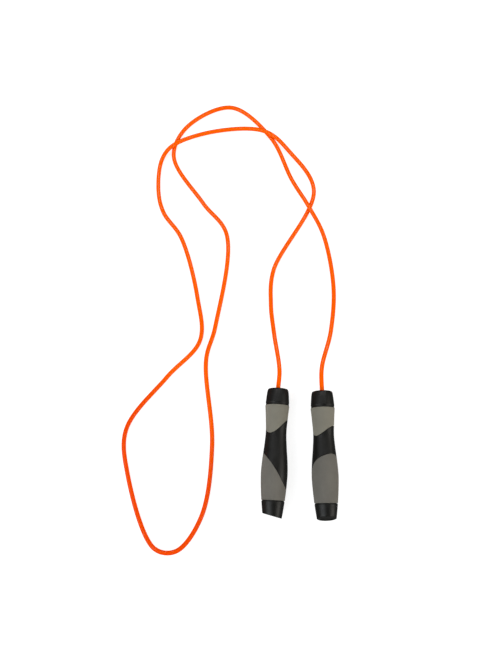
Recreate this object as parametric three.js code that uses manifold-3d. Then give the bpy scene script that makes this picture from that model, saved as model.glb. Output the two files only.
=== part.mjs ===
// A jump rope: one smooth cord between two moulded handles, each turning on a ball bearing.
// Millimetres, +Z up. The rope lies loosely on the floor at z = 0 with both handles side by side,
// their front ends towards +Y. The origin is on the floor, under the middle of the handle pair.
import * as THREE from 'three';
import * as BufferGeometryUtils from 'three/addons/utils/BufferGeometryUtils.js';
import Module from 'manifold-3d';

const wasm = await Module();
wasm.setup();

// Driving dimensions
const GAP = 0.3; // between touching pieces
const ROPE_RADIUS = 3;
const ROPE_CLEARANCE = 0.3; // between the rope and the pieces fixed on it
const CAP_RADIUS = 13.9; // the front cap at its rounded edge
const FLARE_RADIUS = 16.1; // where the front cap meets the upper grip
const WAIST_RADIUS = 13.7;
const BELLY_RADIUS = 17.5;
const TAIL_RADIUS = 12.2; // at the end of the rear cap
const CAP_LENGTH = 22.6;
const BELLY_AT = 111;
const END_CAP_AT = 146;
const HANDLE_LENGTH = 165.5; // along the axis, to the middle of the slanted end
const SLANT = Math.tan(THREE.MathUtils.degToRad(13));
const GRIP_THICKNESS = 2;
const ROUND_SEGMENTS = 28; // around a grip or cap
const SMALL_SEGMENTS = 20; // around a bearing part

// Ball bearing, 8 x 22 x 7. A land is the plain rim of a race beside its ball groove.
const BEARING = { bore: 4, outer: 11, width: 7, front: 4.3, innerLand: 5.75, outerLand: 9.25 };
const BEARING_REAR = BEARING.front + BEARING.width;
const BALL = { radius: 1.985, orbit: 7.5, count: 7 };
const BALL_AT = BEARING.front + BEARING.width / 2;

// The pieces fixed on the rope, one behind the other
const BUSH = { front: BEARING.front, flange: 5.8, flangeThickness: 1.4 };
const BUSH_REAR = BEARING_REAR + GAP + BUSH.flangeThickness;
const WASHER = { front: BUSH_REAR + GAP, radius: 7.2, thickness: 1.2 };
const ROPE_STOP = { front: WASHER.front + WASHER.thickness + GAP, rear: 25.6, radius: 4.6 };

// The handle's outer radius at distances behind its front face
const OUTLINE = [
  [CAP_LENGTH, FLARE_RADIUS],
  [40, 14.7],
  [58, WAIST_RADIUS],
  [76, 14.8],
  [94, 16.6],
  [BELLY_AT, BELLY_RADIUS],
  [128, 16.8],
  [END_CAP_AT, 15.2],
  [HANDLE_LENGTH + 3.5, TAIL_RADIUS],
];
const outline = new THREE.CubicInterpolant(
  OUTLINE.map(([at]) => at),
  OUTLINE.map(([, radius]) => radius),
  1,
);

// The black waist is bounded by two waves that run round the handle. Angle 0 is the long side.
const WAIST_FRONT = { at: 49.4, sway: 8.5, turn: 143, ripple: 2.8, rippleTurn: -63 };
const WAIST_REAR = { at: 103.7, sway: 23.4, turn: 16, ripple: 4.2, rippleTurn: 6 };

// Where each handle lies: the middle of its front face, its yaw and its roll about its own axis.
// The pair is left-handed and right-handed: hand -1 mirrors the waist.
const PITCH = Math.asin((BELLY_RADIUS - FLARE_RADIUS) / (BELLY_AT - CAP_LENGTH));
const FRONT_HEIGHT = FLARE_RADIUS - CAP_LENGTH * Math.sin(PITCH);
const HANDLES = [
  { side: 'left', hand: 1, front: [-26.7, 85.6, FRONT_HEIGHT], yaw: -3.26, roll: 0 },
  { side: 'right', hand: -1, front: [32.3, 82.3, FRONT_HEIGHT], yaw: 0.51, roll: 90 },
];

// The rope's middle line on the floor, from the left handle to the right one
const ROPE_ROUTE = [
  [-24.5, 112, 14.2], [-31, 165, 5.4], [-35, 208, 3.8], [-31, 258, 3.5], [29.5, 381.5, 3.4],
  [-5, 443.5, 4.6], [-41, 474, 10.1], [-113, 478, 4.8], [-178.5, 451.3, 9.6],
  [-194.5, 430.5, 5.8], [-198.5, 381, 3.4], [-190, 347, 3.2], [-163.5, 308, 3.2],
  [-138.3, 217, 3.2], [-134, 155.5, 3.2], [-178.5, 104, 3.2], [-231, 33.5, 3.2],
  [-227, -25.5, 3.2], [-188.5, -120.5, 3.2], [-160, -123.7, 3.2], [-128.4, -81, 3.2],
  [-115.3, 11.5, 3.2], [-125, 128, 3.2], [-113, 175, 3.2], [-98, 313, 3.2], [-132.5, 361.5, 3.2],
  [-177.5, 437, 3.2], [-158.2, 486.2, 3.2], [-92.5, 518.2, 3.2], [-33.5, 468.5, 3.2],
  [-2.5, 398, 5], [21.5, 352.5, 9.6], [41.5, 311.5, 5], [53.8, 234, 3.5], [48, 169, 4.8],
  [33.2, 115, 12.8],
];
const ROPE_INSIDE = 26; // how far the rope reaches into a handle
const ROPE_STEPS = 80;
const ROPE_SIDES = 8;

const COLOURS = {
  black: { color: 0x23231f, roughness: 0.45, metalness: 0 },
  upperGrey: { color: 0x827f73, roughness: 0.8, metalness: 0 },
  lowerGrey: { color: 0x6b675f, roughness: 0.8, metalness: 0 },
  orange: { color: 0xff5a00, roughness: 0.3, metalness: 0 },
  steel: { color: 0xb4b6b8, roughness: 0.25, metalness: 1 },
  brass: { color: 0xb99a55, roughness: 0.35, metalness: 1 },
  nylon: { color: 0xd8d2c0, roughness: 0.6, metalness: 0 },
};

function radiusAt(distance) {
  return outline.evaluate(distance)[0];
}

function waveAt(wave, angle) {
  const turn = THREE.MathUtils.degToRad(wave.turn);
  const rippleTurn = THREE.MathUtils.degToRad(wave.rippleTurn);
  return wave.at + wave.sway * Math.cos(angle - turn)
    + wave.ripple * Math.cos(2 * (angle - rippleTurn));
}

function slantedEnd(radius, angle) {
  return HANDLE_LENGTH + SLANT * radius * Math.cos(angle);
}

// A profile is a list of [radius, distance behind the front face], from front to rear on its
// outside. It turns about the handle's axis, which is the geometry's own Y axis, front end up.
function profilePoints(profile) {
  return profile.map(([radius, distance]) => new THREE.Vector2(radius, -distance)).reverse();
}

function closed(profile) {
  return [...profile, profile[0]];
}

function turned(profile, segments) {
  return new THREE.LatheGeometry(profilePoints(profile), segments);
}

// A lathe whose profile changes with the angle from the handle's long side
function turnedByAngle(profileAt, segments, hand) {
  const geometry = turned(profileAt(0), segments);
  const position = geometry.attributes.position;
  const count = profileAt(0).length;
  for (let i = 0; i <= segments; i += 1) {
    const lathe = (2 * Math.PI * (i % segments)) / segments;
    const points = profilePoints(profileAt(hand * (Math.PI / 2 - lathe)));
    points.forEach((point, j) => {
      position.setXYZ(
        i * count + j,
        point.x * Math.sin(lathe),
        point.y,
        point.x * Math.cos(lathe),
      );
    });
  }
  geometry.computeVertexNormals();
  return geometry;
}

// Points along the handle's surface, a given depth under it, from one distance to another
function surfaceRun(from, to, depth, steps) {
  return Array.from({ length: steps + 1 }, (_, i) => {
    const distance = THREE.MathUtils.lerp(from, to, i / steps);
    return [radiusAt(distance) - depth, distance];
  });
}

// A quarter of an ellipse, from the rim of a flat front face round to the side behind it
function roundedEdge(faceRadius, sideRadius, depth, steps) {
  return Array.from({ length: steps + 1 }, (_, i) => {
    const angle = (Math.PI / 2) * (i / steps);
    return [
      THREE.MathUtils.lerp(faceRadius, sideRadius, Math.sin(angle)),
      depth * (1 - Math.cos(angle)),
    ];
  });
}

// The front cap closes on the core's neck and holds the bearing in. The rope leaves by its hole.
function frontCapGeometry() {
  const hole = ROPE_RADIUS + 0.8;
  const edge = { face: 10.8, depth: 3 };
  const shoulder = { radius: 14.7, at: 7 };
  const inside = { radius: 12.9, front: BEARING.front - GAP, rear: FLARE_RADIUS - 2.7 };
  return turned(closed([
    [hole, 0],
    ...roundedEdge(edge.face, CAP_RADIUS, edge.depth, 3),
    [shoulder.radius, shoulder.at],
    [FLARE_RADIUS - 0.8, CAP_LENGTH - 6],
    [FLARE_RADIUS, CAP_LENGTH],
    [inside.rear, CAP_LENGTH],
    [inside.radius, inside.front],
    [hole, inside.front],
  ]), ROUND_SEGMENTS);
}

function upperGripGeometry(hand) {
  const steps = 5;
  return turnedByAngle((angle) => {
    const front = CAP_LENGTH + GAP;
    const rear = waveAt(WAIST_FRONT, angle);
    return closed([
      ...surfaceRun(front, rear, 0, steps),
      ...surfaceRun(rear, front, GRIP_THICKNESS, steps),
    ]);
  }, ROUND_SEGMENTS, hand);
}

function lowerGripGeometry(hand) {
  const steps = 6;
  return turnedByAngle((angle) => {
    const front = waveAt(WAIST_REAR, angle);
    const rear = END_CAP_AT;
    return closed([
      ...surfaceRun(front, rear, 0, steps),
      ...surfaceRun(rear, front, GRIP_THICKNESS, steps),
    ]);
  }, ROUND_SEGMENTS, hand);
}

// The hard core runs the whole length under the grips and stands up flush with them at the waist
function coreGeometry(hand) {
  const neck = { radius: 12.5, seat: BEARING.outer + GAP, end: CAP_LENGTH + GAP };
  const seatEnd = BEARING_REAR + GAP;
  const frontBore = { radius: 9.6, end: 32 };
  const bore = { radius: 8.4, front: 40, rear: 118 };
  const rearBore = { radius: 10.6, front: 124 };
  const under = GRIP_THICKNESS + GAP;
  const parting = 0.45;
  return turnedByAngle((angle) => {
    const waistFront = waveAt(WAIST_FRONT, angle) + parting;
    const waistRear = waveAt(WAIST_REAR, angle) - parting;
    return closed([
      [neck.radius, BEARING.front],
      [neck.radius, neck.end - 1],
      ...surfaceRun(neck.end, waistFront, under, 3),
      ...surfaceRun(waistFront, waistRear, 0, 5),
      ...surfaceRun(waistRear, END_CAP_AT, under, 3),
      [rearBore.radius, END_CAP_AT],
      [rearBore.radius, rearBore.front],
      [bore.radius, bore.rear],
      [bore.radius, bore.front],
      [frontBore.radius, frontBore.end],
      [frontBore.radius, seatEnd],
      [neck.seat, seatEnd],
      [neck.seat, BEARING.front],
    ]);
  }, ROUND_SEGMENTS, hand);
}

// The rear cap: a plug that presses into the core, and a slanted end with a shallow dish
function endCapGeometry(hand) {
  const plug = { radius: 10.3, front: 128, inner: 8.3, lead: 2, leadRadius: 9.8 };
  const side = END_CAP_AT + GAP;
  const hollowEnd = side + 3;
  const chamfer = { depth: 1.2, width: 0.9 };
  const dish = { radius: 8.6, depth: 0.7, floor: 7.9 };
  return turnedByAngle((angle) => {
    const edge = slantedEnd(TAIL_RADIUS, angle) - chamfer.depth;
    const face = radiusAt(edge) - chamfer.width;
    return [
      [0, hollowEnd],
      [plug.inner, hollowEnd],
      [plug.inner, plug.front],
      [plug.leadRadius, plug.front],
      [plug.radius, plug.front + plug.lead],
      [plug.radius, side],
      ...surfaceRun(side, edge, 0, 3),
      [face, slantedEnd(face, angle)],
      [dish.radius, slantedEnd(dish.radius, angle)],
      [dish.floor, slantedEnd(dish.floor, angle) - dish.depth],
      [0, HANDLE_LENGTH - dish.depth],
    ];
  }, ROUND_SEGMENTS, hand);
}

// The ball groove of a race, as profile points from the front land to the rear one
function groove(landRadius) {
  const radius = BALL.radius + GAP;
  const offset = landRadius - BALL.orbit;
  const half = Math.acos(Math.abs(offset) / radius);
  const steps = 4;
  return Array.from({ length: steps + 1 }, (_, i) => {
    const angle = THREE.MathUtils.lerp(-half, half, i / steps);
    return [
      BALL.orbit + Math.sign(offset) * radius * Math.cos(angle),
      BALL_AT + radius * Math.sin(angle),
    ];
  });
}

function innerRaceGeometry() {
  const land = BEARING.innerLand;
  return turned(closed([
    [BEARING.bore, BEARING.front],
    [land, BEARING.front],
    ...groove(land),
    [land, BEARING_REAR],
    [BEARING.bore, BEARING_REAR],
  ]), SMALL_SEGMENTS);
}

function outerRaceGeometry() {
  const land = BEARING.outerLand;
  return turned(closed([
    [BEARING.outer, BEARING_REAR],
    [land, BEARING_REAR],
    ...groove(land).reverse(),
    [land, BEARING.front],
    [BEARING.outer, BEARING.front],
  ]), SMALL_SEGMENTS);
}

function toManifold(geometry) {
  const bare = geometry.clone();
  bare.deleteAttribute('normal');
  bare.deleteAttribute('uv');
  const merged = BufferGeometryUtils.mergeVertices(bare, 1e-4);
  return new wasm.Manifold(new wasm.Mesh({
    numProp: 3,
    vertProperties: new Float32Array(merged.attributes.position.array),
    triVerts: new Uint32Array(merged.index.array),
  }));
}

function fromManifold(solid) {
  const mesh = solid.getMesh();
  const geometry = new THREE.BufferGeometry();
  geometry.setAttribute('position', new THREE.BufferAttribute(mesh.vertProperties, 3));
  geometry.setIndex(new THREE.BufferAttribute(mesh.triVerts, 1));
  geometry.computeVertexNormals();
  return geometry;
}

// The cage is a thin ring behind the balls, with a finger between each pair of them
function cageGeometry() {
  const ring = { inner: 6.7, outer: 8.3, front: BALL_AT + BALL.radius + GAP, thickness: 0.8 };
  const ringRear = ring.front + ring.thickness;
  const finger = { front: BALL_AT - 1.2, width: 1.7, thickness: 1.2 };
  const length = ring.front + ring.thickness / 2 - finger.front;
  let cage = toManifold(turned(closed([
    [ring.outer, ringRear],
    [ring.inner, ringRear],
    [ring.inner, ring.front],
    [ring.outer, ring.front],
  ]), SMALL_SEGMENTS));
  for (let i = 0; i < BALL.count; i += 1) {
    const turn = (2 * Math.PI * (i + 0.5)) / BALL.count;
    const box = new THREE.BoxGeometry(finger.thickness, length, finger.width);
    box.translate(BALL.orbit, -(finger.front + length / 2), 0);
    box.rotateY(turn);
    cage = cage.add(toManifold(box));
  }
  return fromManifold(cage);
}

// A flanged sleeve that fills the bearing's bore round the rope
function bushGeometry() {
  const sleeve = { inner: ROPE_RADIUS + ROPE_CLEARANCE, outer: BEARING.bore - GAP };
  const flangeFront = BUSH_REAR - BUSH.flangeThickness;
  return turned(closed([
    [sleeve.outer, BUSH.front],
    [sleeve.outer, flangeFront],
    [BUSH.flange, flangeFront],
    [BUSH.flange, BUSH_REAR],
    [sleeve.inner, BUSH_REAR],
    [sleeve.inner, BUSH.front],
  ]), SMALL_SEGMENTS);
}

function washerGeometry() {
  const { front, radius, thickness } = WASHER;
  const hole = ROPE_RADIUS + ROPE_CLEARANCE;
  return turned(closed([
    [radius, front],
    [radius, front + thickness],
    [hole, front + thickness],
    [hole, front],
  ]), SMALL_SEGMENTS);
}

// The crimped ferrule that keeps the rope's end from pulling back through the bush
function ropeStopGeometry() {
  const { front, rear, radius } = ROPE_STOP;
  const hole = ROPE_RADIUS + ROPE_CLEARANCE;
  const chamfer = 0.4;
  const crimp = { at: (front + rear) / 2, depth: 0.5, half: 1, lead: 1 };
  return turned(closed([
    [radius - chamfer, front],
    [radius, front + chamfer],
    [radius, crimp.at - crimp.half - crimp.lead],
    [radius - crimp.depth, crimp.at - crimp.half],
    [radius - crimp.depth, crimp.at + crimp.half],
    [radius, crimp.at + crimp.half + crimp.lead],
    [radius, rear - chamfer],
    [radius - chamfer, rear],
    [hole, rear],
    [hole, front],
  ]), SMALL_SEGMENTS);
}

function named(name, geometry, colour) {
  const mesh = new THREE.Mesh(geometry, new THREE.MeshStandardMaterial(COLOURS[colour]));
  mesh.name = name;
  return mesh;
}

function balls(side) {
  return Array.from({ length: BALL.count }, (_, i) => {
    const turn = (2 * Math.PI * i) / BALL.count;
    const ball = named(
      `${side}_bearing_ball_${i + 1}`,
      new THREE.SphereGeometry(BALL.radius, 10, 6),
      'steel',
    );
    ball.position.set(BALL.orbit * Math.cos(turn), -BALL_AT, -BALL.orbit * Math.sin(turn));
    return ball;
  });
}

function placeLikeHandle(object, { front, yaw, roll }) {
  object.position.set(...front);
  object.rotation.set(
    -PITCH,
    THREE.MathUtils.degToRad(roll),
    THREE.MathUtils.degToRad(yaw),
    'ZXY',
  );
  return object;
}

function handle(place) {
  const { side, hand } = place;
  const group = new THREE.Group();
  group.add(
    named(`${side}_core`, coreGeometry(hand), 'black'),
    named(`${side}_upper_grip`, upperGripGeometry(hand), 'upperGrey'),
    named(`${side}_lower_grip`, lowerGripGeometry(hand), 'lowerGrey'),
    named(`${side}_front_cap`, frontCapGeometry(), 'black'),
    named(`${side}_end_cap`, endCapGeometry(hand), 'black'),
    named(`${side}_bearing_outer_race`, outerRaceGeometry(), 'steel'),
    named(`${side}_bearing_inner_race`, innerRaceGeometry(), 'steel'),
    named(`${side}_bearing_cage`, cageGeometry(), 'nylon'),
    ...balls(side),
    named(`${side}_rope_bush`, bushGeometry(), 'brass'),
    named(`${side}_washer`, washerGeometry(), 'steel'),
    named(`${side}_rope_stop`, ropeStopGeometry(), 'steel'),
  );
  return placeLikeHandle(group, place);
}

// The two points on a handle's axis that the rope follows: its inner end, and where it leaves
// the front cap
function ropeLead(place) {
  const frame = placeLikeHandle(new THREE.Object3D(), place);
  frame.updateMatrixWorld(true);
  return [-ROPE_INSIDE, 0].map((y) => frame.localToWorld(new THREE.Vector3(0, y, 0)));
}

function ropeSection() {
  const section = new THREE.Shape();
  for (let i = 0; i < ROPE_SIDES; i += 1) {
    const angle = (2 * Math.PI * i) / ROPE_SIDES;
    const x = ROPE_RADIUS * Math.cos(angle);
    const y = ROPE_RADIUS * Math.sin(angle);
    if (i === 0) section.moveTo(x, y);
    else section.lineTo(x, y);
  }
  section.closePath();
  return section;
}

function rope() {
  const [left, right] = HANDLES;
  const middle = ROPE_ROUTE.map((point) => new THREE.Vector3(...point));
  const path = new THREE.CatmullRomCurve3([
    ...ropeLead(left),
    ...middle,
    ...ropeLead(right).reverse(),
  ]);
  path.arcLengthDivisions = 2000;
  const geometry = new THREE.ExtrudeGeometry(ropeSection(), {
    extrudePath: path,
    steps: ROPE_STEPS,
  });
  return named('rope', geometry, 'orange');
}

const jumpRope = new THREE.Group();
jumpRope.add(rope(), ...HANDLES.map(handle));

export default jumpRope;
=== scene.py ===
"""A jump rope on a pale floor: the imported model's frame, with a fine surface on every piece."""
import math

import bmesh
import bpy
from mathutils import Matrix, Vector


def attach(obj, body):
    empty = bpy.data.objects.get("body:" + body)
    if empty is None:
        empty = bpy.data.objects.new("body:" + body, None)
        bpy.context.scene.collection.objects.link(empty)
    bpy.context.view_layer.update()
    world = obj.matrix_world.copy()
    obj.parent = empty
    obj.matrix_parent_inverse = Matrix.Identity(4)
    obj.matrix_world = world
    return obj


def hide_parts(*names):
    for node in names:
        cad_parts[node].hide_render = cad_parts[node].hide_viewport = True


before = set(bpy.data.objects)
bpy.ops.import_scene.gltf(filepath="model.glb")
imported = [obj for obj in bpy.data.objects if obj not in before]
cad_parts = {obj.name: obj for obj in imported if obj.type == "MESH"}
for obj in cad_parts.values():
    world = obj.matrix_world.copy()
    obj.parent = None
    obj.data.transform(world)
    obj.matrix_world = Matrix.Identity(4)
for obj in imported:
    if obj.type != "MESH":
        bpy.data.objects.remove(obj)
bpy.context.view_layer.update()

MM = 0.001
GAP = 0.3 * MM  # between touching pieces

# The handle, in metres: distances run along its axis, from the front face backwards
ROPE_RADIUS = 3 * MM
ROPE_CLEARANCE = 0.3 * MM  # between the rope and the pieces fixed on it
CAP_RADIUS = 13.9 * MM
FLARE_RADIUS = 16.1 * MM
WAIST_RADIUS = 13.7 * MM
BELLY_RADIUS = 17.5 * MM
TAIL_RADIUS = 12.2 * MM
CAP_LENGTH = 22.6 * MM
BELLY_AT = 111 * MM
END_CAP_AT = 146 * MM
HANDLE_LENGTH = 165.5 * MM
SLANT = math.tan(math.radians(13))
GRIP_THICKNESS = 2 * MM
ROUND_SEGMENTS = 128  # around a grip or cap
SMALL_SEGMENTS = 72  # around a bearing part
CAGE_SEGMENTS = 210
FILLET_STEPS = 4
GROOVE_STEPS = 14
SHARP_DEGREES = 40  # an edge that turns further than this stays sharp

# The ball bearing in the front of each handle. A land is the rim of a race beside its groove.
BEARING_BORE = 4 * MM
BEARING_OUTER = 11 * MM
BEARING_FRONT = 4.3 * MM
BEARING_REAR = BEARING_FRONT + 7 * MM
INNER_LAND = 5.75 * MM
OUTER_LAND = 9.25 * MM
BALL_RADIUS = 1.985 * MM
BALL_ORBIT = 7.5 * MM
BALL_COUNT = 7
BALL_AT = (BEARING_FRONT + BEARING_REAR) / 2

# The pieces fixed on the rope, one behind the other
BUSH_FLANGE = 5.8 * MM
BUSH_REAR = BEARING_REAR + GAP + 1.4 * MM
WASHER_FRONT = BUSH_REAR + GAP
WASHER_REAR = WASHER_FRONT + 1.2 * MM
WASHER_RADIUS = 7.2 * MM
STOP_FRONT = WASHER_REAR + GAP
STOP_REAR = 25.6 * MM
STOP_RADIUS = 4.6 * MM
ROPE_HOLE = ROPE_RADIUS + ROPE_CLEARANCE

# The outer radius at distances behind the front face, as in the CAD model
OUTLINE = [
    (CAP_LENGTH, FLARE_RADIUS),
    (40 * MM, 14.7 * MM),
    (58 * MM, WAIST_RADIUS),
    (76 * MM, 14.8 * MM),
    (94 * MM, 16.6 * MM),
    (BELLY_AT, BELLY_RADIUS),
    (128 * MM, 16.8 * MM),
    (END_CAP_AT, 15.2 * MM),
    (HANDLE_LENGTH + 3.5 * MM, TAIL_RADIUS),
]

# The two waves that bound the black waist; angle 0 is the handle's long side
WAIST_FRONT = {"at": 49.4, "sway": 8.5, "turn": 143, "ripple": 2.8, "ripple_turn": -63}
WAIST_REAR = {"at": 103.7, "sway": 23.4, "turn": 16, "ripple": 4.2, "ripple_turn": 6}

# Where the handles lie, as in the CAD model
PITCH = math.asin((BELLY_RADIUS - FLARE_RADIUS) / (BELLY_AT - CAP_LENGTH))
FRONT_HEIGHT = FLARE_RADIUS - CAP_LENGTH * math.sin(PITCH)
HANDLES = [
    {"side": "left", "hand": 1, "front": (-0.0267, 0.0856, FRONT_HEIGHT), "yaw": -3.26, "roll": 0},
    {"side": "right", "hand": -1, "front": (0.0323, 0.0823, FRONT_HEIGHT), "yaw": 0.51, "roll": 90},
]

# The rope's middle line on the floor, the CAD model's route in metres
ROPE_ROUTE = [
    (-0.0245, 0.1120, 0.0142), (-0.0310, 0.1650, 0.0054), (-0.0350, 0.2080, 0.0038),
    (-0.0310, 0.2580, 0.0035), (0.0295, 0.3815, 0.0034), (-0.0050, 0.4435, 0.0046),
    (-0.0410, 0.4740, 0.0101), (-0.1130, 0.4780, 0.0048), (-0.1785, 0.4513, 0.0096),
    (-0.1945, 0.4305, 0.0058), (-0.1985, 0.3810, 0.0034), (-0.1900, 0.3470, 0.0032),
    (-0.1635, 0.3080, 0.0032), (-0.1383, 0.2170, 0.0032), (-0.1340, 0.1555, 0.0032),
    (-0.1785, 0.1040, 0.0032), (-0.2310, 0.0335, 0.0032), (-0.2270, -0.0255, 0.0032),
    (-0.1885, -0.1205, 0.0032), (-0.1600, -0.1237, 0.0032), (-0.1284, -0.0810, 0.0032),
    (-0.1153, 0.0115, 0.0032), (-0.1250, 0.1280, 0.0032), (-0.1130, 0.1750, 0.0032),
    (-0.0980, 0.3130, 0.0032), (-0.1325, 0.3615, 0.0032), (-0.1775, 0.4370, 0.0032),
    (-0.1582, 0.4862, 0.0032), (-0.0925, 0.5182, 0.0032), (-0.0335, 0.4685, 0.0032),
    (-0.0025, 0.3980, 0.0050), (0.0215, 0.3525, 0.0096), (0.0415, 0.3115, 0.0050),
    (0.0538, 0.2340, 0.0035), (0.0480, 0.1690, 0.0048), (0.0332, 0.1150, 0.0128),
]
ROPE_INSIDE = 26 * MM
ROPE_STEP = 3 * MM

# The camera looks steeply down from behind the handles
CAMERA_AT = (-0.0686, -0.0686, 0.952)
CAMERA_TILT = math.radians(14.2)
FOCAL_LENGTH_MM = 38.35
SENSOR_MM = 36


def set_up_camera():
    data = bpy.data.cameras.new("camera")
    data.lens = FOCAL_LENGTH_MM
    data.sensor_width = SENSOR_MM
    data.sensor_fit = "AUTO"
    camera = bpy.data.objects.new("camera", data)
    camera.location = CAMERA_AT
    camera.rotation_euler = (CAMERA_TILT, 0, 0)
    bpy.context.scene.collection.objects.link(camera)
    bpy.context.scene.camera = camera


# --- the shape of a handle ---


def outline_slopes():
    """The slope of the outline at each of its points, with straight ends."""
    inner = [
        (OUTLINE[i + 1][1] - OUTLINE[i - 1][1]) / (OUTLINE[i + 1][0] - OUTLINE[i - 1][0])
        for i in range(1, len(OUTLINE) - 1)
    ]

    def end_slope(a, b, neighbour):
        return 1.5 * (b[1] - a[1]) / (b[0] - a[0]) - 0.5 * neighbour

    first = end_slope(OUTLINE[0], OUTLINE[1], inner[0])
    last = end_slope(OUTLINE[-2], OUTLINE[-1], inner[-1])
    return [first, *inner, last]


SLOPES = outline_slopes()


def radius_at(distance):
    i = 0
    while i < len(OUTLINE) - 2 and distance > OUTLINE[i + 1][0]:
        i += 1
    (at0, r0), (at1, r1) = OUTLINE[i], OUTLINE[i + 1]
    span = at1 - at0
    t = (distance - at0) / span
    return (
        r0 * (2 * t**3 - 3 * t**2 + 1)
        + r1 * (3 * t**2 - 2 * t**3)
        + SLOPES[i] * span * (t**3 - 2 * t**2 + t)
        + SLOPES[i + 1] * span * (t**3 - t**2)
    )


def wave_at(wave, angle):
    sway = wave["sway"] * math.cos(angle - math.radians(wave["turn"]))
    ripple = wave["ripple"] * math.cos(2 * (angle - math.radians(wave["ripple_turn"])))
    return (wave["at"] + sway + ripple) * MM


def slanted_end(radius, angle):
    return HANDLE_LENGTH + SLANT * radius * math.cos(angle)


def surface_run(start, end, depth, steps):
    """Points along the handle's surface, a given depth under it, without the two ends."""
    run = []
    for i in range(1, steps):
        distance = start + (end - start) * i / steps
        run.append((radius_at(distance) - depth, distance, 0))
    return run


def surface_corner(distance, depth, fillet):
    return (radius_at(distance) - depth, distance, fillet)


def filleted(corners, closed=True):
    """A profile whose corners are (radius, distance, fillet), with the corners rounded."""
    profile = []
    count = len(corners)
    for i, (radius, distance, fillet) in enumerate(corners):
        corner = Vector((radius, distance))
        if not fillet:
            profile.append(corner)
            continue
        before = Vector(corners[i - 1][:2]) - corner
        after = Vector(corners[(i + 1) % count][:2]) - corner
        start = corner + before.normalized() * min(fillet, 0.49 * before.length)
        end = corner + after.normalized() * min(fillet, 0.49 * after.length)
        for k in range(FILLET_STEPS + 1):
            t = k / FILLET_STEPS
            profile.append(start * (1 - t) ** 2 + corner * 2 * t * (1 - t) + end * t**2)
    if closed:
        profile.append(profile[0])
    return profile


def handle_matrix(place):
    """From a handle's own frame, with +Y out of its front, to the row frame."""
    turn = (
        Matrix.Rotation(math.radians(place["yaw"]), 4, "Z")
        @ Matrix.Rotation(-PITCH, 4, "X")
        @ Matrix.Rotation(math.radians(place["roll"]), 4, "Y")
    )
    return Matrix.Translation(place["front"]) @ turn


def add_mesh(name, geometry, matrix):
    """A new object from a bmesh, whose mesh is put in its place, smooth but for its sharp edges."""
    geometry.transform(matrix)
    bmesh.ops.recalc_face_normals(geometry, faces=geometry.faces)
    for edge in geometry.edges:
        edge.smooth = edge.calc_face_angle(math.pi) < math.radians(SHARP_DEGREES)
    for face in geometry.faces:
        face.smooth = True
    mesh = bpy.data.meshes.new(name)
    geometry.to_mesh(mesh)
    geometry.free()
    piece = bpy.data.objects.new(name, mesh)
    bpy.context.scene.collection.objects.link(piece)
    return piece


def turned(profile_at, segments, hand=1):
    """A closed body of revolution whose profile may change with the angle round the axis."""
    geometry = bmesh.new()
    rings = []
    for i in range(segments):
        angle = 2 * math.pi * i / segments
        ring = [
            geometry.verts.new((p.x * math.cos(angle), -p.y, hand * p.x * math.sin(angle)))
            for p in profile_at(angle)
        ]
        rings.append(ring)
    for i, ring in enumerate(rings):
        following = rings[(i + 1) % segments]
        for j in range(len(ring) - 1):
            geometry.faces.new((ring[j], ring[j + 1], following[j + 1], following[j]))
    bmesh.ops.remove_doubles(geometry, verts=geometry.verts, dist=1e-7)
    bmesh.ops.dissolve_degenerate(geometry, edges=geometry.edges, dist=1e-8)
    return geometry


# --- the pieces of a handle ---


def front_cap_profile(angle):
    wall = FLARE_RADIUS - 2.7 * MM
    hole = ROPE_RADIUS + 0.8 * MM
    return filleted([
        (hole, 0, 0.8 * MM),
        (11 * MM, 0.15 * MM, 1.5 * MM),
        (CAP_RADIUS - 0.2 * MM, 0.6 * MM, 2.6 * MM),
        (14.75 * MM, 7 * MM, 2 * MM),
        (15.75 * MM, CAP_LENGTH - 3.1 * MM, 0.5 * MM),
        (15.3 * MM, CAP_LENGTH - 2.5 * MM, 0.2 * MM),
        (15.5 * MM, CAP_LENGTH - 0.1 * MM, 0.3 * MM),
        (wall, CAP_LENGTH - 0.1 * MM, 0.2 * MM),
        (12.9 * MM, 4 * MM, 0.5 * MM),
        (hole, 4 * MM, 0.3 * MM),
    ])


def grip_profile(front, rear, steps):
    """A sleeve on the core, its outer edges rounded."""
    return filleted([
        surface_corner(front, 0, 0.5 * MM),
        *surface_run(front, rear, 0, steps),
        surface_corner(rear, 0, 0.5 * MM),
        surface_corner(rear, GRIP_THICKNESS, 0.1 * MM),
        *surface_run(rear, front, GRIP_THICKNESS, steps // 3),
        surface_corner(front, GRIP_THICKNESS, 0.1 * MM),
    ])


def upper_grip_profile(angle):
    return grip_profile(CAP_LENGTH + GAP, wave_at(WAIST_FRONT, angle), 18)


def lower_grip_profile(angle):
    return grip_profile(wave_at(WAIST_REAR, angle), END_CAP_AT, 24)


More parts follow.
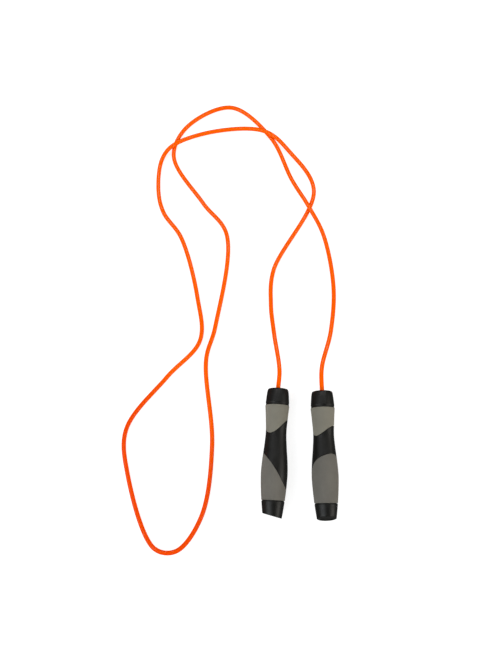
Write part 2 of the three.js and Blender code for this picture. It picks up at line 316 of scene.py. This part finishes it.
def core_profile(angle):
    """The hard core, which stands up flush with the grips at the waist."""
    under = GRIP_THICKNESS + GAP
    parting = 0.4 * MM
    front = wave_at(WAIST_FRONT, angle) + parting
    rear = wave_at(WAIST_REAR, angle) - parting
    neck = 12.5 * MM
    neck_end = CAP_LENGTH + GAP
    seat = BEARING_OUTER + GAP
    seat_end = BEARING_REAR + GAP
    front_bore = 9.6 * MM
    bore = 8.4 * MM
    rear_bore = 10.6 * MM
    return filleted([
        (neck, BEARING_FRONT, 0.3 * MM),
        (neck, neck_end - 1 * MM, 0.3 * MM),
        surface_corner(neck_end, under, 0.3 * MM),
        *surface_run(neck_end, front, under, 6),
        surface_corner(front, under, 0.1 * MM),
        surface_corner(front, 0, 0.4 * MM),
        *surface_run(front, rear, 0, 24),
        surface_corner(rear, 0, 0.4 * MM),
        surface_corner(rear, under, 0.1 * MM),
        *surface_run(rear, END_CAP_AT, under, 6),
        surface_corner(END_CAP_AT, under, 0.3 * MM),
        (rear_bore, END_CAP_AT, 0.3 * MM),
        (rear_bore, 124 * MM, 0.5 * MM),
        (bore, 118 * MM, 0.5 * MM),
        (bore, 40 * MM, 0.5 * MM),
        (front_bore, 32 * MM, 0.5 * MM),
        (front_bore, seat_end, 0.2 * MM),
        (seat, seat_end, 0.2 * MM),
        (seat, BEARING_FRONT, 0.3 * MM),
    ])


def end_cap_profile(angle):
    """A plug that presses into the core, and a slanted end with a shallow dish."""
    side = END_CAP_AT + GAP
    edge = slanted_end(TAIL_RADIUS, angle)
    dish = 8.6 * MM
    floor = 7.9 * MM
    plug = 10.3 * MM
    plug_inner = 8.3 * MM
    plug_front = 128 * MM
    corners = [
        (0, side + 3 * MM, 0),
        (plug_inner, side + 3 * MM, 0.3 * MM),
        (plug_inner, plug_front, 0.2 * MM),
        (plug, plug_front, 0.6 * MM),
        (plug, side, 0.2 * MM),
        surface_corner(side, 0.5 * MM, 0.3 * MM),
        surface_corner(side + 0.9 * MM, 0.5 * MM, 0.2 * MM),
        surface_corner(side + 1.3 * MM, 0, 0.3 * MM),
        *surface_run(side + 1.3 * MM, edge, 0, 14),
        (radius_at(edge), edge, 0.8 * MM),
        (dish, slanted_end(dish, angle), 0.5 * MM),
        (floor, slanted_end(floor, angle) - 0.7 * MM, 0.5 * MM),
        (0, HANDLE_LENGTH - 0.7 * MM, 0),
    ]
    return filleted(corners, closed=False)


# --- the pieces inside a handle ---


def groove(land):
    """The ball groove of a race, from its front land to its rear one."""
    radius = BALL_RADIUS + GAP
    offset = land - BALL_ORBIT
    half = math.acos(abs(offset) / radius)
    side = math.copysign(radius, offset)
    corners = []
    for i in range(GROOVE_STEPS + 1):
        angle = half * (2 * i / GROOVE_STEPS - 1)
        corners.append((BALL_ORBIT + side * math.cos(angle), BALL_AT + radius * math.sin(angle), 0))
    return corners


def inner_race_profile(angle):
    return filleted([
        (BEARING_BORE, BEARING_FRONT, 0.3 * MM),
        (INNER_LAND, BEARING_FRONT, 0.3 * MM),
        *groove(INNER_LAND),
        (INNER_LAND, BEARING_REAR, 0.3 * MM),
        (BEARING_BORE, BEARING_REAR, 0.3 * MM),
    ])


def outer_race_profile(angle):
    return filleted([
        (OUTER_LAND, BEARING_FRONT, 0.3 * MM),
        (BEARING_OUTER, BEARING_FRONT, 0.4 * MM),
        (BEARING_OUTER, BEARING_REAR, 0.4 * MM),
        (OUTER_LAND, BEARING_REAR, 0.3 * MM),
        *reversed(groove(OUTER_LAND)),
    ])


def cage_profile(angle):
    """A ring behind the balls, with a horn between each pair of round ball pockets."""
    pocket = BALL_RADIUS + 0.2 * MM
    spacing = 2 * math.pi / BALL_COUNT
    from_ball = (angle + spacing / 2) % spacing - spacing / 2
    aside = BALL_ORBIT * abs(from_ball)
    front = BALL_AT - 1.2 * MM
    if aside < pocket:
        front = BALL_AT + math.sqrt(pocket**2 - aside**2)
    rear = BALL_AT + BALL_RADIUS + GAP + 0.8 * MM
    inner = 6.7 * MM
    outer = 8.3 * MM
    return filleted([
        (inner, front, 0.15 * MM),
        (outer, front, 0.15 * MM),
        (outer, rear, 0.2 * MM),
        (inner, rear, 0.2 * MM),
    ])


def bush_profile(angle):
    sleeve = BEARING_BORE - GAP
    flange_front = BEARING_REAR + GAP
    return filleted([
        (ROPE_HOLE, BEARING_FRONT, 0.15 * MM),
        (sleeve, BEARING_FRONT, 0.15 * MM),
        (sleeve, flange_front, 0.1 * MM),
        (BUSH_FLANGE, flange_front, 0.3 * MM),
        (BUSH_FLANGE, BUSH_REAR, 0.3 * MM),
        (ROPE_HOLE, BUSH_REAR, 0.3 * MM),
    ])


def washer_profile(angle):
    return filleted([
        (ROPE_HOLE, WASHER_FRONT, 0.15 * MM),
        (WASHER_RADIUS, WASHER_FRONT, 0.25 * MM),
        (WASHER_RADIUS, WASHER_REAR, 0.25 * MM),
        (ROPE_HOLE, WASHER_REAR, 0.15 * MM),
    ])


def rope_stop_profile(angle):
    """A ferrule, pressed in round its middle by a crimping tool with six jaws."""
    middle = (STOP_FRONT + STOP_REAR) / 2
    dent = 0.5 * MM * (0.6 + 0.4 * math.cos(6 * angle))
    return filleted([
        (ROPE_HOLE, STOP_FRONT, 0.2 * MM),
        (STOP_RADIUS, STOP_FRONT, 0.4 * MM),
        (STOP_RADIUS, middle - 2 * MM, 0.8 * MM),
        (STOP_RADIUS - dent, middle - 1 * MM, 0.6 * MM),
        (STOP_RADIUS - dent, middle + 1 * MM, 0.6 * MM),
        (STOP_RADIUS, middle + 2 * MM, 0.8 * MM),
        (STOP_RADIUS, STOP_REAR, 0.4 * MM),
        (ROPE_HOLE, STOP_REAR, 0.2 * MM),
    ])


def ball(number):
    """One of the balls, counted from 0, in the handle's own frame."""
    geometry = bmesh.new()
    bmesh.ops.create_uvsphere(geometry, u_segments=40, v_segments=24, radius=BALL_RADIUS)
    turn = 2 * math.pi * number / BALL_COUNT
    place = Vector((BALL_ORBIT * math.cos(turn), -BALL_AT, -BALL_ORBIT * math.sin(turn)))
    bmesh.ops.translate(geometry, verts=geometry.verts, vec=place)
    return geometry


# --- the rope ---


def rope_lead(place):
    """The two points on a handle's axis that the rope follows, from inside it outwards."""
    matrix = handle_matrix(place)
    return [matrix @ Vector((0, y, 0)) for y in (-ROPE_INSIDE, 0)]


def spline_piece(before, start, end, after):
    """One span of a centripetal Catmull-Rom spline, as its four cubic coefficients."""
    gaps = [math.sqrt((b - a).length) for a, b in ((before, start), (start, end), (end, after))]
    first, span, last = gaps
    leave = (start - before) / first - (end - before) / (first + span) + (end - start) / span
    arrive = (end - start) / span - (after - start) / (span + last) + (after - end) / last
    leave *= span
    arrive *= span
    return (
        start,
        leave,
        3 * (end - start) - 2 * leave - arrive,
        2 * (start - end) + leave + arrive,
    )


def rope_line():
    """The rope's centreline, from the end in the left handle to the end in the right one."""
    left, right = HANDLES
    knots = [
        *rope_lead(left),
        *(Vector(point) for point in ROPE_ROUTE),
        *reversed(rope_lead(right)),
    ]
    knots = [2 * knots[0] - knots[1], *knots, 2 * knots[-1] - knots[-2]]
    line = []
    for i in range(1, len(knots) - 2):
        a, b, c, d = spline_piece(*knots[i - 1 : i + 3])
        steps = max(4, round((knots[i + 1] - knots[i]).length / ROPE_STEP))
        for k in range(steps):
            t = k / steps
            line.append(a + b * t + c * t**2 + d * t**3)
    line.append(knots[-2])
    return line


def make_rope():
    line = rope_line()
    data = bpy.data.curves.new("rope_cord", "CURVE")
    data.dimensions = "3D"
    data.bevel_depth = ROPE_RADIUS
    data.bevel_resolution = 5
    data.use_fill_caps = True
    spline = data.splines.new("POLY")
    spline.points.add(len(line) - 1)
    for point, place in zip(spline.points, line):
        point.co = (*place, 1)
    spline.use_smooth = True
    cord = bpy.data.objects.new("rope_cord", data)
    bpy.context.scene.collection.objects.link(cord)
    data.materials.append(cord_material())
    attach(cord, "rope")
    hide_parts("rope")


# --- materials ---


class Nodes:
    """A material's node tree, with short ways to add and join nodes."""

    def __init__(self, name):
        self.material = bpy.data.materials.new(name)
        self.material.use_nodes = True
        self.tree = self.material.node_tree
        self.shader = self.tree.nodes["Principled BSDF"]
        self.coordinates = self.add("ShaderNodeTexCoord").outputs["Object"]

    def add(self, kind, **values):
        node = self.tree.nodes.new(kind)
        for name, value in values.items():
            node.inputs[name].default_value = value
        return node

    def join(self, output, target):
        self.tree.links.new(output, target)

    def noise(self, scale, detail=3, stretch=(1, 1, 1)):
        """Noise with so many waves in a metre, stretched along the axes."""
        mapping = self.add("ShaderNodeMapping", Scale=stretch)
        self.join(self.coordinates, mapping.inputs["Vector"])
        noise = self.add("ShaderNodeTexNoise", Scale=scale, Detail=detail)
        self.join(mapping.outputs["Vector"], noise.inputs["Vector"])
        return noise.outputs["Fac"]

    def ramp(self, factor, low, high):
        """Maps a noise from its middle range to between two values or two colours."""
        ramp = self.tree.nodes.new("ShaderNodeValToRGB")
        ramp.color_ramp.elements[0].position = 0.3
        ramp.color_ramp.elements[1].position = 0.7
        ramp.color_ramp.elements[0].color = low
        ramp.color_ramp.elements[1].color = high
        self.join(factor, ramp.inputs["Fac"])
        return ramp.outputs["Color"]

    def tint(self, factor, colour, spread):
        """A colour that drifts a little lighter and darker."""
        low = (*(channel * (1 - spread) for channel in colour), 1)
        high = (*(min(1, channel * (1 + spread)) for channel in colour), 1)
        self.join(self.ramp(factor, low, high), self.shader.inputs["Base Color"])

    def gradient(self, degrees, scale, offset):
        """Rises from 0 to 1 in one direction over the floor."""
        mapping = self.add(
            "ShaderNodeMapping",
            Location=(offset, 0, 0),
            Rotation=(0, 0, math.radians(degrees)),
            Scale=(scale, scale, scale),
        )
        self.join(self.coordinates, mapping.inputs["Vector"])
        gradient = self.add("ShaderNodeTexGradient")
        self.join(mapping.outputs["Vector"], gradient.inputs["Vector"])
        return gradient.outputs["Fac"]

    def deepen(self, factor, colour):
        """Multiplies the base colour by another one where the factor is high."""
        base = self.shader.inputs["Base Color"]
        mix = self.add("ShaderNodeMixRGB", Fac=1)
        mix.blend_type = "MULTIPLY"
        self.join(base.links[0].from_socket, mix.inputs["Color1"])
        self.join(self.ramp(factor, (1, 1, 1, 1), (*colour, 1)), mix.inputs["Color2"])
        self.join(mix.outputs["Color"], base)

    def roughness(self, factor, low, high):
        self.join(self.ramp(factor, (low, low, low, 1), (high, high, high, 1)),
                  self.shader.inputs["Roughness"])

    def bump(self, factor, strength, depth):
        bump = self.add("ShaderNodeBump", Strength=strength, Distance=depth)
        self.join(factor, bump.inputs["Height"])
        self.join(bump.outputs["Normal"], self.shader.inputs["Normal"])

    def set(self, **values):
        for name, value in values.items():
            self.shader.inputs[name.replace("_", " ")].default_value = value


CORD_COLOUR = (0.98, 0.11, 0.0004)
LOOP_PAINTED_SHADE = (0.88, 0.6, 1)  # painted shade: light falling off towards the loop at -X and -Y, painted as a darker, redder cord
BLACK_COLOUR = (0.0052, 0.0051, 0.0043)
UPPER_GREY = (0.186, 0.176, 0.143)
LOWER_GREY = (0.13, 0.122, 0.106)
COOL_LIGHT = (0.93, 0.97, 1.0)
WARM_LIGHT = (1.0, 0.96, 0.89)
WHITE = (1, 1, 1)
AMBIENT = 0.12  # how strongly the world lights the rope
SOFTBOX_AIM = (0, 0.05, 0)
FLOOR_SIZE = 6


def cord_material():
    nodes = Nodes("orange_pvc")
    nodes.tint(nodes.noise(14, 2), CORD_COLOUR, 0.06)
    nodes.deepen(nodes.gradient(135, 5.1, 0.12), LOOP_PAINTED_SHADE)  # painted shade, deepening towards -X and -Y
    nodes.roughness(nodes.noise(160, 3), 0.08, 0.15)
    nodes.bump(nodes.noise(420, 2), 0.12, 0.0004)
    nodes.set(Specular_IOR_Level=0.1)
    return nodes.material


def grip_material(name, colour):
    nodes = Nodes(name)
    nodes.tint(nodes.noise(45, 4), colour, 0.07)
    nodes.roughness(nodes.noise(300, 3), 0.66, 0.8)
    nodes.bump(nodes.noise(2600, 2), 0.22, 0.0002)
    nodes.set(Specular_IOR_Level=0.2)
    return nodes.material


def black_material():
    nodes = Nodes("black_plastic")
    nodes.tint(nodes.noise(60, 3), BLACK_COLOUR, 0.15)
    nodes.roughness(nodes.noise(220, 4), 0.36, 0.47)
    nodes.bump(nodes.noise(3200, 2), 0.12, 0.0002)
    nodes.set(Specular_IOR_Level=0.24)
    return nodes.material


def metal_material(name, colour, low, high, stretch=(1, 1, 1)):
    nodes = Nodes(name)
    nodes.tint(nodes.noise(300, 3), colour, 0.08)
    nodes.roughness(nodes.noise(900, 4, stretch), low, high)
    nodes.bump(nodes.noise(1800, 3, stretch), 0.08, 0.0001)
    nodes.set(Metallic=1)
    return nodes.material


def nylon_material():
    nodes = Nodes("nylon")
    nodes.tint(nodes.noise(200, 3), (0.68, 0.64, 0.53), 0.05)
    nodes.roughness(nodes.noise(500, 3), 0.4, 0.55)
    nodes.bump(nodes.noise(1500, 2), 0.1, 0.0001)
    nodes.set(Specular_IOR_Level=0.5)
    return nodes.material


MATERIALS = {
    "black_plastic": black_material(),
    "upper_grip": grip_material("upper_grip", UPPER_GREY),
    "lower_grip": grip_material("lower_grip", LOWER_GREY),
    "bearing_steel": metal_material("bearing_steel", (0.6, 0.61, 0.62), 0.12, 0.2, (1, 6, 1)),
    "zinc_steel": metal_material("zinc_steel", (0.5, 0.51, 0.53), 0.3, 0.45),
    "brass": metal_material("brass", (0.6, 0.4, 0.13), 0.28, 0.4, (1, 6, 1)),
    "nylon": nylon_material(),
}


# --- putting it together ---


def make_piece(place, name, geometry, slot, body):
    """One visible piece of a handle, in place of its CAD node."""
    side = place["side"]
    piece = add_mesh(f"{side}_{name}_shell", geometry, handle_matrix(place))
    piece.data.materials.append(MATERIALS[slot])
    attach(piece, body)
    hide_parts(f"{side}_{name}")


def make_grip(place):
    """The pieces that turn with a handle."""
    shells = [
        ("core", core_profile, "black_plastic"),
        ("upper_grip", upper_grip_profile, "upper_grip"),
        ("lower_grip", lower_grip_profile, "lower_grip"),
        ("front_cap", front_cap_profile, "black_plastic"),
        ("end_cap", end_cap_profile, "black_plastic"),
        ("bearing_outer_race", outer_race_profile, "bearing_steel"),
    ]
    for name, profile_at, slot in shells:
        geometry = turned(profile_at, ROUND_SEGMENTS, place["hand"])
        make_piece(place, name, geometry, slot, f"{place['side']}_handle")


def make_cage(place):
    """The balls and their cage, which run round at a speed of their own."""
    body = f"{place['side']}_cage"
    make_piece(place, "bearing_cage", turned(cage_profile, CAGE_SEGMENTS), "nylon", body)
    for number in range(BALL_COUNT):
        make_piece(place, f"bearing_ball_{number + 1}", ball(number), "bearing_steel", body)


def make_rope_end(place):
    """The pieces that stay with the rope."""
    pieces = [
        ("bearing_inner_race", inner_race_profile, "bearing_steel"),
        ("rope_bush", bush_profile, "brass"),
        ("washer", washer_profile, "zinc_steel"),
        ("rope_stop", rope_stop_profile, "zinc_steel"),
    ]
    for name, profile_at, slot in pieces:
        make_piece(place, name, turned(profile_at, SMALL_SEGMENTS), slot, "rope")


def make_floor():
    mesh = bpy.data.meshes.new("floor")
    half = FLOOR_SIZE / 2
    corners = [(-half, -half, 0), (half, -half, 0), (half, half, 0), (-half, half, 0)]
    mesh.from_pydata(corners, [], [(0, 1, 2, 3)])
    floor = bpy.data.objects.new("floor", mesh)
    bpy.context.scene.collection.objects.link(floor)
    nodes = Nodes("pale_floor")
    nodes.tint(nodes.noise(3, 2), (0.4, 0.4, 0.4), 0.01)
    nodes.set(Roughness=0.9, Specular_IOR_Level=0.1)
    nodes.set(Emission_Color=(1, 1, 1, 1), Emission_Strength=0.8)
    mesh.materials.append(nodes.material)
    floor.visible_glossy = False  # the handles' dark sides don't mirror it


def add_softbox(name, place, size, radiance, colour):
    """A rectangular area light that faces the handles."""
    data = bpy.data.lights.new(name, "AREA")
    data.shape = "RECTANGLE"
    data.size, data.size_y = size
    data.energy = radiance * math.pi * size[0] * size[1]
    data.color = colour
    light = bpy.data.objects.new(name, data)
    light.location = place
    aim = Vector(SOFTBOX_AIM) - Vector(place)
    light.rotation_euler = aim.to_track_quat("-Z", "Y").to_euler()
    bpy.context.scene.collection.objects.link(light)


def light_the_stage():
    add_softbox("left_softbox", (-1.7, -0.7, 1.7), (2.4, 2.0), 3.4, COOL_LIGHT)
    add_softbox("right_softbox", (2.1, -0.6, 1.15), (2.4, 1.6), 3.4, WARM_LIGHT)
    add_softbox("far_softbox", (0, 1.2, 1.7), (2.4, 0.5), 4.8, WHITE)
    world = bpy.data.worlds.new("studio")
    world.use_nodes = True
    background = world.node_tree.nodes["Background"]
    background.inputs["Color"].default_value = (*WHITE, 1)
    rays = world.node_tree.nodes.new("ShaderNodeLightPath")
    strength = world.node_tree.nodes.new("ShaderNodeMapRange")
    strength.inputs["To Min"].default_value = AMBIENT  # as a light
    strength.inputs["To Max"].default_value = 1  # as the camera sees it past the floor
    world.node_tree.links.new(rays.outputs["Is Camera Ray"], strength.inputs["Value"])
    world.node_tree.links.new(strength.outputs["Result"], background.inputs["Strength"])
    bpy.context.scene.world = world
    bpy.context.scene.view_settings.view_transform = "Standard"


set_up_camera()
make_rope()
for place in HANDLES:
    make_grip(place)
    make_cage(place)
    make_rope_end(place)
make_floor()
light_the_stage()
